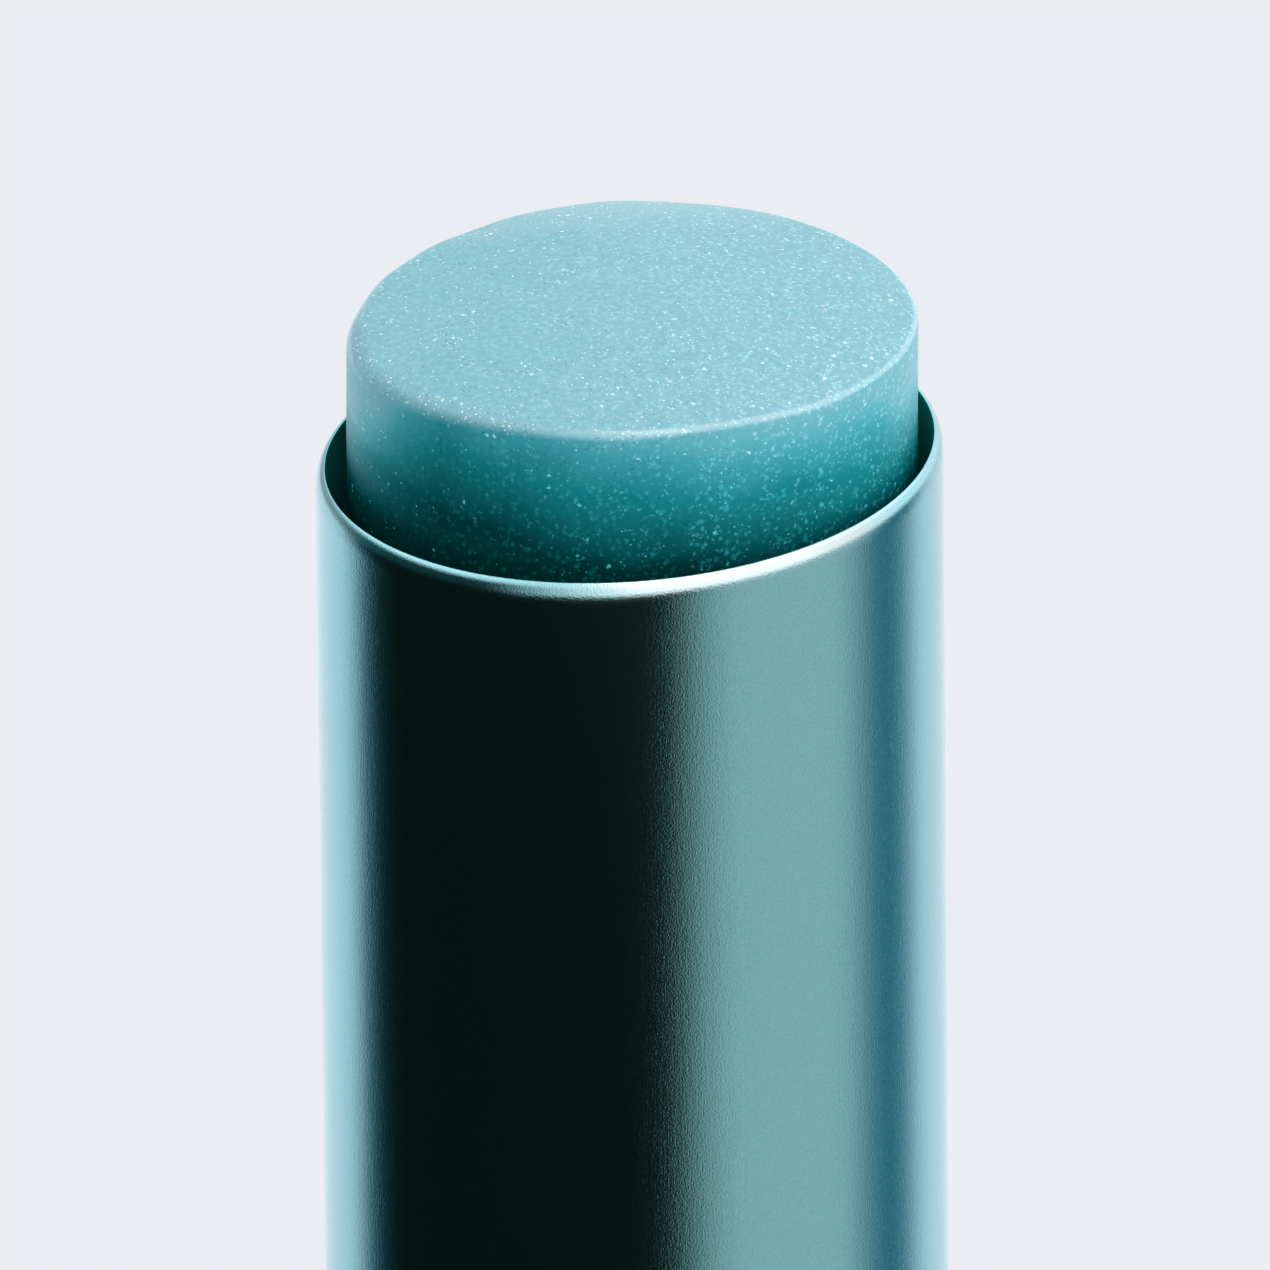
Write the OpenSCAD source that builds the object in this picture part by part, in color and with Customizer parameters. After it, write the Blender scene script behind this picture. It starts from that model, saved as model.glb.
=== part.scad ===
/* [Sleeve] */
// Width of the oval sleeve, across its ends
sleeve_w = 20; // [18:0.1:24]
// Depth of the oval sleeve, across its flanks
sleeve_d = 16.8; // [16:0.1:17.6]
// Radius of the oval's rounded ends
sleeve_end_r = 7.6; // [7.2:0.1:7.8]
// Length of the sleeve
sleeve_len = 59; // [56:0.5:70]
// Wall of the drawn sleeve
sleeve_wall = 0.36; // [0.25:0.01:0.6]
// Radius that rounds the outside of the rim
rim_r = 0.44; // [0.1:0.02:0.8]

/* [Balm] */
// Height of the middle of the balm's top above the rim at rest
balm_rise = 5.4; // [2:0.05:5.6]
// Free space between the balm and the sleeve
balm_gap = 0.58; // [0.4:0.02:0.9]
// What the balm shrinks away from the cup's wall as it sets
cast_gap = 0.02; // [0.01:0.01:0.06]
// Radius of the balm's top edge on its soft side
edge_soft_r = 1.05; // [0.2:0.05:1.5]
// Radius of the balm's top edge on its crisp side
edge_crisp_r = 0.2; // [0.1:0.05:1]
// How far the arched top falls from its middle to each end of the oval
balm_fall_w = 0.85; // [0:0.05:2.5]
// How far the arched top falls from its middle to each flank of the oval
balm_fall_d = 0.6; // [0:0.05:1.5]
// Slope of the balm's top along the width, in degrees
balm_slope_w = -2.9; // [-6:0.1:6]
// Slope of the balm's top along the depth, in degrees
balm_slope_d = -0.5; // [-6:0.1:6]

/* [Carrier cup] */
// Running gap between the cup and the sleeve
cup_gap = 0.14; // [0.08:0.01:0.25]
// Height of the cup's wall above its floor
cup_wall_h = 5.5; // [3:0.1:7]
// Thickness of the cup's floor
cup_floor = 1.2; // [0.8:0.1:2]
// Number of ribs that grip the balm
cup_ribs = 6; // [4:1:10]
// How far each rib stands into the balm
cup_rib_depth = 0.9; // [0.4:0.1:1.5]
// Thickness of the ribs and of the webs on the stem
rib_t = 0.7; // [0.5:0.05:1]
// Outside diameter of the stem that hangs under the cup
stem_d = 7; // [6.2:0.1:8]
// Length of the threaded nut at the foot of the stem
nut_len = 4; // [2.5:0.1:4.5]

/* [Screw and travel] */
// Outside diameter of the screw
screw_d = 4.6; // [3.6:0.1:5]
// Radial clearance of the screw in the nut and in its bearing
screw_gap = 0.08; // [0.05:0.01:0.1]
// Travel of the balm below the rest position
travel_down = 6; // [3:0.5:6.5]
// Travel of the balm above the rest position
travel_up = 15; // [10:0.5:15]
// Free length that every end stop keeps
stop_gap = 0.4; // [0.2:0.05:0.5]
// Width across flats of the screw's hexagon end
hex_flats = 4; // [3:0.1:4.4]

/* [Bearing plug] */
// Thickness of the plug's flange, which covers the sleeve's lower edge
flange_t = 0.8; // [0.5:0.1:1.5]
// Depth of the plug's solid part above the flange
plug_h = 5.2; // [4.8:0.1:6]
// Height of the plug's skirt above its solid part
plug_skirt_h = 6; // [3:0.5:10]
// Wall of the plug's skirt
plug_skirt_t = 1; // [0.6:0.1:1.2]
// Thickness of the bearing floor
bearing_t = 1.2; // [0.8:0.1:1.6]

/* [Dial] */
// How far the dial stands back from the flanks of the sleeve
dial_step = 0.3; // [0.1:0.05:0.6]
// Height of the dial
dial_h = 8; // [7:0.1:12]
// Running gap between the dial and the flange
dial_gap = 0.3; // [0.2:0.05:0.6]
// Wall of the dial's metal cover
cover_wall = 0.7; // [0.5:0.05:1]
// Thickness of the cover's bottom
cover_floor = 0.8; // [0.5:0.1:1.2]
// Radius of the cover's lower outside edge
cover_edge_r = 0.6; // [0.2:0.05:0.8]
// Number of grip flutes
flutes = 36; // [24:1:48]
// Depth of each flute
flute_depth = 0.22; // [0.1:0.01:0.35]
// Diameter of the collar that clips into the plug
collar_d = 11; // [10:0.1:11.6]
// Wall of the collar
collar_wall = 1; // [0.7:0.1:1.2]
// How far the clip bead stands out of the collar
bead_out = 0.3; // [0.15:0.05:0.4]
// Running gap round the collar and its bead
clip_gap = 0.12; // [0.08:0.01:0.2]
// Height of the core's web above the standing face
web_z = 3; // [1.2:0.1:3.4]
// Thickness of the friction ring
ring_t = 1.1; // [0.8:0.05:1.3]

/* [Hidden] */
$fn = 96;
bite = 0.1; // what a cut reaches past a face

// The oval is four arcs that run smoothly into each other: two ends and two flanks
half_w = sleeve_w / 2;
half_d = sleeve_d / 2;
end_r = sleeve_end_r;
end_centre = half_w - end_r;
flank_centre = (pow(end_centre, 2) - pow(half_d - end_r, 2)) / (2 * (half_d - end_r));
flank_r = half_d + flank_centre;
seam = [end_centre, flank_centre] / (flank_r - end_r); // towards the point where two arcs meet
end_angle = atan2(seam[1], seam[0]);

// Insets of each surface from the outside of the sleeve
bore_inset = sleeve_wall;
cup_inset = bore_inset + cup_gap;
balm_inset = bore_inset + balm_gap;

// Heights, from the face that the dial stands on
flange_z = dial_h + dial_gap;
sleeve_z = flange_z + flange_t;
rim_z = sleeve_z + sleeve_len;
plug_top_z = sleeve_z + plug_h;
bearing_z = plug_top_z - bearing_t;
nut_z = plug_top_z + stop_gap + travel_down;
screw_top_z = nut_z + travel_up + nut_len;
cup_under_z = screw_top_z + stop_gap + travel_down;
cup_floor_z = cup_under_z + cup_floor;
balm_top_z = rim_z + balm_rise;
soft_turn = 22; // how far the soft side lies from the oval's end, in degrees

// Parts of the screw's head and of the dial
head_t = ring_t + 1;
head_z = bearing_z - clip_gap - head_t;
head_lip = (head_t - ring_t) / 2;
head_d = collar_d - 2 * collar_wall - 2 * clip_gap;
head_bore_d = head_d + 4 * clip_gap;
ring_seat_d = head_bore_d - 2 * ring_t - clip_gap;
bead_z = flange_z + flange_t / 2;
bead_h = 0.7;
collar_top_z = head_z - clip_gap;
clip_bore_d = collar_d + 2 * clip_gap;
bead_d = collar_d + 2 * bead_out;
dial_d = sleeve_d - 2 * dial_step;
core_d = dial_d - 2 * cover_wall;
core_top_z = dial_h - 0.2;
drum_wall = 1.2;
web_t = 1.2;
hub_d = hex_flats / cos(30) + 2.2;
hex_z = web_z + 0.2;
hex_gap = 0.05;
flute_r = 0.9;
stem_bore_d = screw_d + 0.8;
rib_drop = 1; // how far the cup's ribs end below its edge
web_h = 3; // height of the webs under the cup
web_in = 1; // how far the webs end from the cup's outside
point_h = 0.6; // chamfer at the screw's upper end

// A closed outline that lies inset from the outside of the sleeve
module oval(inset) {
    tangent_x = (flank_r - inset) * cos(end_angle);
    for (side = [-1, 1])
        translate([side * end_centre, 0]) circle(r = end_r - inset);
    intersection() {
        translate([0, flank_centre]) circle(r = flank_r - inset);
        translate([0, -flank_centre]) circle(r = flank_r - inset);
        square([2 * tangent_x, sleeve_d], center = true);
    }
}

// Sweeps a profile round the oval: x = 0 is the outside of the sleeve, and inwards is negative
module oval_sweep(h) {
    far = 4 * half_w;
    for (side = [0, 180]) rotate([0, 0, side]) {
        intersection() {
            translate([end_centre, 0, 0]) rotate_extrude() translate([end_r, 0]) children();
            translate([end_centre, 0, -h]) linear_extrude(3 * h)
                polygon([[0, 0], [far * seam[0], -far * seam[1]], [far * seam[0], far * seam[1]]]);
        }
        intersection() {
            translate([0, -flank_centre, 0]) rotate_extrude() translate([flank_r, 0]) children();
            translate([0, -flank_centre, -h]) linear_extrude(3 * h)
                polygon([[0, 0], [far * seam[0], far * seam[1]], [-far * seam[0], far * seam[1]]]);
        }
    }
}

module disc(d, z, h) {
    translate([0, 0, z]) cylinder(d = d, h = h);
}

module sleeve() {
    color([0.35, 0.56, 0.58]) difference() {
        translate([0, 0, sleeve_z]) linear_extrude(sleeve_len) oval(0);
        translate([0, 0, sleeve_z - bite]) linear_extrude(sleeve_len + 2 * bite) oval(sleeve_wall);
        translate([0, 0, rim_z - rim_r]) oval_sweep(rim_r) difference() {
            translate([-rim_r, 0]) square([rim_r + bite, rim_r + bite]);
            translate([-rim_r, 0]) circle(r = rim_r);
        }
    }
}

module bearing_plug() {
    color([0.13, 0.2, 0.21]) difference() {
        union() {
            translate([0, 0, flange_z]) linear_extrude(flange_t) oval(0.1);
            translate([0, 0, sleeve_z]) linear_extrude(plug_h + plug_skirt_h) oval(bore_inset);
        }
        translate([0, 0, plug_top_z]) linear_extrude(plug_skirt_h + bite)
            oval(bore_inset + plug_skirt_t);
        disc(clip_bore_d, flange_z - bite, collar_top_z + clip_gap - flange_z + bite);
        disc(bead_d + 2 * clip_gap, bead_z - clip_gap, bead_h + 2 * clip_gap);
        disc(head_bore_d, flange_z, bearing_z - flange_z);
        disc(screw_d + 2 * screw_gap, bearing_z - bite, bearing_t + 2 * bite);
    }
}

// The ribs inside the cup, which also leave their slots in the balm
module rib_set() {
    for (i = [0:cup_ribs - 1]) rotate([0, 0, (i + 0.5) * 360 / cup_ribs])
        translate([half_d - balm_inset - cup_rib_depth, -rib_t / 2, cup_floor_z])
            cube([half_w, rib_t, cup_wall_h - rib_drop]);
}

module carrier_cup() {
    color([0.82, 0.86, 0.87]) {
        difference() {
            translate([0, 0, cup_under_z]) linear_extrude(cup_floor + cup_wall_h) oval(cup_inset);
            translate([0, 0, cup_floor_z]) linear_extrude(cup_wall_h + bite) oval(balm_inset - cast_gap);
        }
        intersection() {
            rib_set();
            translate([0, 0, cup_floor_z]) linear_extrude(cup_wall_h)
                oval((cup_inset + balm_inset) / 2);
        }
        difference() {
            union() {
                disc(stem_d, nut_z, cup_under_z - nut_z);
                for (turn = [0, 90]) rotate([0, 0, turn])
                    translate([-half_d + cup_inset + web_in, -rib_t / 2, cup_under_z - web_h])
                        cube([2 * (half_d - cup_inset - web_in), rib_t, web_h]);
            }
            disc(screw_d + 2 * screw_gap, nut_z - bite, nut_len + 2 * bite);
            disc(stem_bore_d, nut_z + nut_len, cup_under_z - nut_z - nut_len);
        }
    }
}

// A point of the oval where its outline faces the angle t
function oval_point(inset, t) =
    abs(t) <= end_angle || abs(t - 360) <= end_angle
        ? [end_centre + (end_r - inset) * cos(t), (end_r - inset) * sin(t)]
    : abs(t - 180) <= end_angle
        ? [-end_centre + (end_r - inset) * cos(t), (end_r - inset) * sin(t)]
    : [(flank_r - inset) * cos(t), (flank_r - inset) * sin(t) - sign(sin(t)) * flank_centre];

// Height of the arched, sloping top over a point, before its edge is softened
function balm_top(p) = balm_top_z + p[0] * tan(balm_slope_w) + p[1] * tan(balm_slope_d)
    - balm_fall_w * pow(p[0] / (half_w - balm_inset), 2)
    - balm_fall_d * pow(p[1] / (half_d - balm_inset), 2);

// Radius of the balm's top edge where its outline faces the angle t, from the crisp to the soft side
function edge_r(t) = edge_crisp_r + (edge_soft_r - edge_crisp_r) * pow((1 - cos(t + soft_turn)) / 2, 2);

// A closed shape with the balm's whole top, a little wider than the balm
module balm_envelope() {
    sides = 72;
    skirt = 0.3;
    start = 18; // the edge's round starts this many degrees up from the side
    turns = [start, 32, 46, 60, 75, 90];
    inner = (half_d - balm_inset) * [0.25, 0.43, 0.6, 0.78];
    under_z = cup_floor_z - 1;
    angles = [for (i = [0:sides - 1]) i * 360 / sides];
    count = len(turns) + len(inner) + 1;
    last = count * sides;
    points = concat(
        [for (t = angles) let (p = oval_point(balm_inset - skirt, t)) [p[0], p[1], under_z]],
        [for (t = angles) let (p = oval_point(balm_inset - skirt, t), r = edge_r(t))
            [p[0], p[1], balm_top(p) - r * (1 - sin(start)) - (skirt + r * (1 - cos(start))) / tan(start)]],
        [for (a = turns, t = angles) let (r = edge_r(t), p = oval_point(balm_inset + r * (1 - cos(a)), t))
            [p[0], p[1], balm_top(p) - r * (1 - sin(a))]],
        [for (d = inner, t = angles) let (p = oval_point(balm_inset + d, t)) [p[0], p[1], balm_top(p)]],
        [[0, 0, balm_top_z], [0, 0, under_z]]);
    faces = concat(
        [for (k = [0:count - 1], i = [0:sides - 1]) let (j = (i + 1) % sides)
            [k * sides + i, (k + 1) * sides + i, (k + 1) * sides + j]],
        [for (k = [0:count - 1], i = [0:sides - 1]) let (j = (i + 1) % sides)
            [k * sides + i, (k + 1) * sides + j, k * sides + j]],
        [for (i = [0:sides - 1]) [last + i, last + sides, last + (i + 1) % sides]],
        [for (i = [0:sides - 1]) [i, (i + 1) % sides, last + sides + 1]]);
    polyhedron(points = points, faces = faces);
}

module balm() {
    color([0.45, 0.72, 0.76]) difference() {
        intersection() {
            translate([0, 0, cup_floor_z]) linear_extrude(2 * sleeve_len) oval(balm_inset);
            balm_envelope();
        }
        rib_set();
    }
}

module screw_spindle() {
    color([0.88, 0.9, 0.9]) {
        disc(screw_d, head_z, screw_top_z - head_z - point_h);
        translate([0, 0, screw_top_z - point_h]) cylinder(d1 = screw_d, d2 = screw_d - 2 * point_h, h = point_h);
        difference() {
            disc(head_d, head_z, head_t);
            difference() {
                disc(head_d + bite, head_z + head_lip, ring_t);
                disc(ring_seat_d, head_z + head_lip, ring_t);
            }
        }
        translate([0, 0, hex_z]) cylinder(d = hex_flats / cos(30), h = head_z - hex_z, $fn = 6);
    }
}

module friction_ring() {
    color([0.1, 0.1, 0.1]) translate([0, 0, head_z + head_t / 2])
        rotate_extrude() translate([(ring_seat_d + ring_t) / 2, 0]) circle(d = ring_t - 0.02, $fn = 32);
}

module dial_core() {
    color([0.16, 0.22, 0.23]) difference() {
        union() {
            difference() {
                disc(core_d, cover_floor, core_top_z - cover_floor);
                disc(core_d - 2 * drum_wall, cover_floor - bite, core_top_z - cover_floor + 2 * bite);
            }
            disc(core_d - drum_wall, web_z, web_t);
            difference() {
                union() {
                    disc(collar_d, web_z, collar_top_z - web_z);
                    disc(bead_d, bead_z, bead_h);
                }
                disc(collar_d - 2 * collar_wall, web_z + web_t, collar_top_z - web_z);
            }
            disc(hub_d, web_z, head_z - web_z);
            for (i = [0:2]) rotate([0, 0, i * 60])
                difference() {
                    translate([-core_d / 2 + drum_wall / 2, -rib_t / 2, web_z])
                        cube([core_d - drum_wall, rib_t, core_top_z - web_z - 0.6]);
                    disc(collar_d - collar_wall, web_z + web_t, core_top_z);
                }
        }
        translate([0, 0, hex_z - 0.1])
            cylinder(d = (hex_flats + 2 * hex_gap) / cos(30), h = head_z, $fn = 6);
    }
}

module dial_cover() {
    color([0.35, 0.56, 0.58]) difference() {
        union() {
            disc(dial_d, cover_edge_r, dial_h - cover_edge_r);
            disc(dial_d - 2 * cover_edge_r, 0, cover_edge_r);
            translate([0, 0, cover_edge_r]) rotate_extrude()
                translate([dial_d / 2 - cover_edge_r, 0]) circle(r = cover_edge_r);
        }
        disc(core_d, cover_floor, dial_h);
        for (i = [0:flutes - 1]) rotate([0, 0, i * 360 / flutes])
            translate([dial_d / 2 + flute_r - flute_depth, 0, cover_edge_r + 1])
                cylinder(r = flute_r, h = dial_h, $fn = 24);
    }
}

sleeve();
bearing_plug();
carrier_cup();
balm();
screw_spindle();
friction_ring();
dial_core();
dial_cover();
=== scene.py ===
# %% [markdown]
# # A twist-up lip balm in an oval metal case
#
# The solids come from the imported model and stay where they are. This script dresses them: it builds the
# surfaces that the eye reads closely as finer meshes, gives every piece its own procedural finish, and
# sets up the light, the floor and the camera.

# %% Load the frame
import math
from types import SimpleNamespace

import bpy
import numpy as np
from mathutils import Matrix, Vector


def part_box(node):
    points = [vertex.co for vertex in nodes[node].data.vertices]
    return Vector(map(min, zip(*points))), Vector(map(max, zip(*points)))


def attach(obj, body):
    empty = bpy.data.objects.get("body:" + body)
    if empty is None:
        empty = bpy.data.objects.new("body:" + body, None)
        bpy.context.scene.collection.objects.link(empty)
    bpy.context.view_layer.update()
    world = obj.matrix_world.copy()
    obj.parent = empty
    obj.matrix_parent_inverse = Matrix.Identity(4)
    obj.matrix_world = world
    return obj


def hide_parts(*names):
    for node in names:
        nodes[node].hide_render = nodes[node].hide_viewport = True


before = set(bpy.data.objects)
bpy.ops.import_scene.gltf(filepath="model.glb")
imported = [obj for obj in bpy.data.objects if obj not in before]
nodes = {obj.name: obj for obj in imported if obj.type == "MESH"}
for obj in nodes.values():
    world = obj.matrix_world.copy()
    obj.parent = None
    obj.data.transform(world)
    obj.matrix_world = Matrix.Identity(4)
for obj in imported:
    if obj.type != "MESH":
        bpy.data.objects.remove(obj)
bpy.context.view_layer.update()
boxes = {name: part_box(name) for name in nodes}
for name in sorted(boxes):
    low, high = boxes[name]
    print(f"{name:14s} {low.z * 1000:6.2f} to {high.z * 1000:6.2f} mm high")

# %% [markdown]
# ## The case's oval, and how any wall of it is drawn
#
# The case, the plug and the balm all follow one oval. In the solids it is four arcs. Here it is a true
# ellipse, which lies within 0.07 mm of them and bends without a jump, so a reflection that runs along it
# stays smooth. A wall that lies further in is the same oval moved in along its own normal, which keeps the
# gap between two pieces equal all round. The solids are faceted, and their boxes are a few thousandths of a
# millimetre short of the round shape, so half sizes are read from the boxes and rounded to tenths.

# %% Sizes of the oval and the ring of points on it
MM = 0.001
half_w, half_d = (round(side * 1000, 1) for side in boxes["sleeve"][1].xy)
rim_z = boxes["sleeve"][1].z * 1000
sleeve_z = boxes["sleeve"][0].z * 1000
wall = 0.36
mouth, rim_r, rim_h = 0.29, 0.40, 0.80
rim_fullness = 2.5  # an ellipse has 2, a square corner has no limit


def oval_ring(inset, count=240):
    """Points and outward normals of the oval, `inset` mm in from the case's outside."""
    t = np.arange(count) * 2 * math.pi / count
    normal = np.stack([np.cos(t) / half_w, np.sin(t) / half_d], 1)
    normal /= np.linalg.norm(normal, axis=1)[:, None]
    return np.stack([half_w * np.cos(t), half_d * np.sin(t)], 1) - inset * normal, normal


print(f"oval {2 * half_w:.2f} x {2 * half_d:.2f} mm, rim {rim_z:.2f} mm above the table")

# %% [markdown]
# ## Meshes from rings
#
# Every turned, drawn or cast piece here is a stack of closed rings of points. Joining each ring to the next
# gives clean four-sided faces that run round the piece, and these shade evenly. The ends close with a fan
# round one middle point.

# %% A helper that joins rings into a mesh
def ring_mesh(name, rings, closed_loop=False, cap_start=False, cap_end=False):
    """A smooth mesh from rings of equal length, given in mm; closed_loop joins the last ring to the first."""
    count = len(rings[0])
    verts = np.concatenate([np.asarray(r, float) for r in rings]) * MM
    faces = []
    steps = len(rings) if closed_loop else len(rings) - 1
    for k in range(steps):
        a, b = k * count, ((k + 1) % len(rings)) * count
        for i in range(count):
            j = (i + 1) % count
            faces.append((a + i, a + j, b + j, b + i))
    verts = [tuple(v) for v in verts]
    for use, base, flip in ((cap_start, 0, True), (cap_end, (len(rings) - 1) * count, False)):
        if use:
            middle = np.mean(np.array(verts[base:base + count]), axis=0)
            verts.append(tuple(middle))
            for i in range(count):
                j = (i + 1) % count
                tri = (base + i, base + j, len(verts) - 1)
                faces.append(tri[::-1] if flip else tri)
    mesh = bpy.data.meshes.new(name)
    mesh.from_pydata(verts, [], faces)
    mesh.validate()
    mesh.shade_smooth()
    obj = bpy.data.objects.new(name, mesh)
    bpy.context.scene.collection.objects.link(obj)
    return obj


def at_height(points, z):
    """The plan's points at one height, or each at its own."""
    return np.column_stack([points, np.broadcast_to(z, len(points))])


print("ring mesh helper ready")

# %% [markdown]
# ## The sleeve
#
# A drawn aluminium case is one thin wall. Its mouth is trimmed, and the outside of the cut is rolled or
# tumbled round while the inside edge stays crisp; that small round is what catches the light as a white
# line. The roll leans the wall in slowly, then turns it over into a narrow land, and thins it a little at the
# mouth. It could be a solid with a bevel modifier, but a wall profile swept round the oval gives full control
# of the edge: a round outside that is fuller than a quarter of an ellipse, and a hairline one inside.

# %% Sweep the sleeve's wall profile
def sleeve_profile():
    """(inset, height) pairs from the foot of the outside, over the rim and down the inside."""
    foot_edge, land = 0.04, 0.03
    foot = [(foot_edge, sleeve_z), (0.0, sleeve_z + foot_edge)]
    outside = [(0.0, sleeve_z + h) for h in (0.5, 10, 20, 30, 40, 50, 57)]
    outside += [(0.0, rim_z - 1.1), (0.0, rim_z - 0.9)]
    full = 2 / rim_fullness
    stop = math.acos((1 - (mouth - land) / rim_r) ** (1 / full))
    over = [(rim_r * (1 - math.cos(a) ** full), rim_z - rim_h * (1 - math.sin(a) ** full))
            for a in np.linspace(0, stop, 22)]
    top = over[-1][1]
    inner = [(mouth - 0.012, top - 0.002), (mouth - 0.002, top - 0.012), (mouth, top - 0.03),
             (mouth + 0.01, top - 0.2), (wall - 0.01, top - 1.4)]
    down = [(wall, top - h) for h in (1.7, 4, 12, 24, 40, 52)] + [(wall, sleeve_z + foot_edge / 2)]
    return foot + outside + over + inner + down


sleeve_rings = [at_height(oval_ring(i)[0], z) for i, z in sleeve_profile()]
sleeve = ring_mesh("drawn_sleeve", sleeve_rings, closed_loop=True)
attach(sleeve, "case")
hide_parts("sleeve")
print("sleeve faces:", len(sleeve.data.polygons))

# %% [markdown]
# ## The balm
#
# The balm is cast: it is poured warm, so its top settles into an arch that runs over from one flank to the
# other and slopes a little, and its edge softens where the wax has sunk. The edge is sharper at one side
# and rounder at the other, so its radius changes on the way round. Slow small waves in the side and top,
# a few hundredths of a millimetre high, keep it from looking machined. It also sits a tenth of a millimetre
# off the middle, which the carrier's running gap allows.

# %% Cast the balm from rings
balm_inset = 0.885
off_centre = np.array([0.102, -0.041])
balm_low = boxes["balm"][0].z * 1000
middle_z = rim_z + 5.44
fall_w, fall_d, fall_front, twist = 0.87, 0.6, 0.14, 0.15
slope_w, slope_d = math.tan(math.radians(-2.9)), math.tan(math.radians(-0.5))
sharpest_edge, edge_grows = 0.2, 0.58
sharper_side = (0.93, -0.37)


def wave(x, y, z):
    """A slow unevenness in mm, a few hundredths at most."""
    return (0.016 * np.sin(0.9 * x + 0.4 * z + 1.0) + 0.014 * np.sin(0.7 * y - 0.5 * z + 2.3)
            + 0.010 * np.sin(1.9 * x + 1.3 * y + 0.8))


def balm_top(points):
    """Height of the arched, sloping top over each point of the plan."""
    x, y = points[:, 0], points[:, 1]
    u, v = x / (half_w - balm_inset), y / (half_d - balm_inset)
    arch = middle_z + slope_w * x + slope_d * y - fall_w * u ** 2 - fall_d * v ** 2 + twist * u * v
    return arch - fall_front * np.clip(-v, 0, None) ** 2 + 1.6 * wave(x, y, 0 * x)


def balm_rings():
    """Rings up the side, round the top's edge and in over the top, as it stands off the middle."""
    outline, normal = oval_ring(balm_inset)
    roundness = 0.5 - 0.5 * normal @ np.array(sharper_side)
    edge = sharpest_edge + edge_grows * roundness ** 2
    top_here = balm_top(outline) - edge
    rings = []
    for f in (0, 0.3, 0.55, 0.7, 0.8, 0.88, 0.94, 0.98, 1.0):
        z = balm_low + (top_here - balm_low) * f
        shift = wave(outline[:, 0], outline[:, 1], z) * min(1, f * 1.2)
        rings.append(np.column_stack([outline + normal * shift[:, None], z]))
    for a in np.linspace(0, math.pi / 2, 13)[1:]:
        inset = balm_inset + edge * (1 - math.cos(a))
        shift = wave(outline[:, 0], outline[:, 1], top_here) * math.cos(a)
        base = oval_ring(0)[0] - normal * (inset - shift)[:, None]
        rings.append(np.column_stack([base, balm_top(base) - edge * (1 - math.sin(a))]))
    inner = rings[-1][:, :2]
    for s in (0.9, 0.8, 0.7, 0.6, 0.5, 0.4, 0.3, 0.2, 0.1, 0.03):
        rings.append(np.column_stack([inner * s, balm_top(inner * s)]))
    return [ring + np.array([*off_centre, 0.0]) for ring in rings]


balm = ring_mesh("cast_balm", balm_rings(), cap_start=True, cap_end=True)
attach(balm, "carrier")
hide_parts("balm")
print("balm faces:", len(balm.data.polygons))

# %% [markdown]
# ## The dial's cover
#
# The dial is turned by two fingertips, so its metal cover is fluted all round. The flutes start above a
# plain band and run out softly at both ends, as a rolled or milled flute does. A boolean would leave hard
# notches; here the radius of each point is lowered by the flute's depth times a soft window in height.

# %% Form the fluted cover
dial_r = round(boxes["dial_cover"][1].x * 1000, 1)
dial_h = boxes["dial_cover"][1].z * 1000
cover_wall, cover_floor, cover_edge, lip_edge = 0.7, 0.8, 0.6, 0.2
flute_count, flute_depth, flute_half_w = 36, 0.22, 0.58
flute_low, flute_high, flute_fade = 1.5, 7.6, 0.6
points_per_flute = 14


def cover_rings():
    """Rings out under the foot, up the fluted side, over the lip and down the inside."""
    count = flute_count * points_per_flute
    t = np.arange(count) * 2 * math.pi / count
    phase = (t * flute_count / (2 * math.pi)) % 1.0
    off = np.minimum(phase, 1 - phase) * 2 * math.pi * dial_r / flute_count
    groove = np.clip(1 - (off / flute_half_w) ** 2, 0, None) ** 0.8
    way = np.column_stack([np.cos(t), np.sin(t)])
    rings = [at_height(way * r, 0.0) for r in (3.0, 6.0, dial_r - cover_edge)]
    for a in np.linspace(0, math.pi / 2, 8)[1:]:
        r = dial_r - cover_edge + cover_edge * math.sin(a)
        rings.append(at_height(way * r, cover_edge * (1 - math.cos(a))))
    for z in (1.2, 1.5, 1.7, 1.9, 2.2, 3.5, 5.0, 6.2, 6.8, 7.1, 7.3, 7.5, 7.7):
        window = min(1.0, max(0.0, (z - flute_low) / flute_fade))
        window *= min(1.0, max(0.0, (flute_high - z) / flute_fade))
        window = window * window * (3 - 2 * window)
        rings.append(at_height(way * (dial_r - flute_depth * groove * window)[:, None], z))
    for a in np.linspace(0, math.pi / 2, 5)[1:]:
        r = dial_r - lip_edge * (1 - math.cos(a))
        rings.append(at_height(way * r, dial_h - lip_edge + lip_edge * math.sin(a)))
    inner = dial_r - cover_wall
    inside = [(inner + 0.03, dial_h), (inner, dial_h - 0.03), (inner, 6.0), (inner, 3.0),
              (inner, cover_floor + 0.1), (inner - 0.1, cover_floor), (4.0, cover_floor), (1.0, cover_floor)]
    return rings + [at_height(way * r, z) for r, z in inside]


cover = ring_mesh("fluted_cover", cover_rings(), cap_start=True, cap_end=True)
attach(cover, "dial")
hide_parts("dial_cover")
print("cover faces:", len(cover.data.polygons), "radius", dial_r)

# %% [markdown]
# ## The screw
#
# The carrier climbs a coarse moulded screw with a steep double thread. In the solids the shaft is plain and
# the coupling of the joints stands for the thread. Here its turns are cut in: the radius drops by a rounded
# groove that follows a left-handed helix of 3 mm a turn, so that turning the dial with the clock, seen from
# below, lifts the balm. Below the shaft come the head with the rubber ring's groove and the hexagon that
# plugs into the dial. One stack of rings draws all three, as only the radius changes on the way up.

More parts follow.
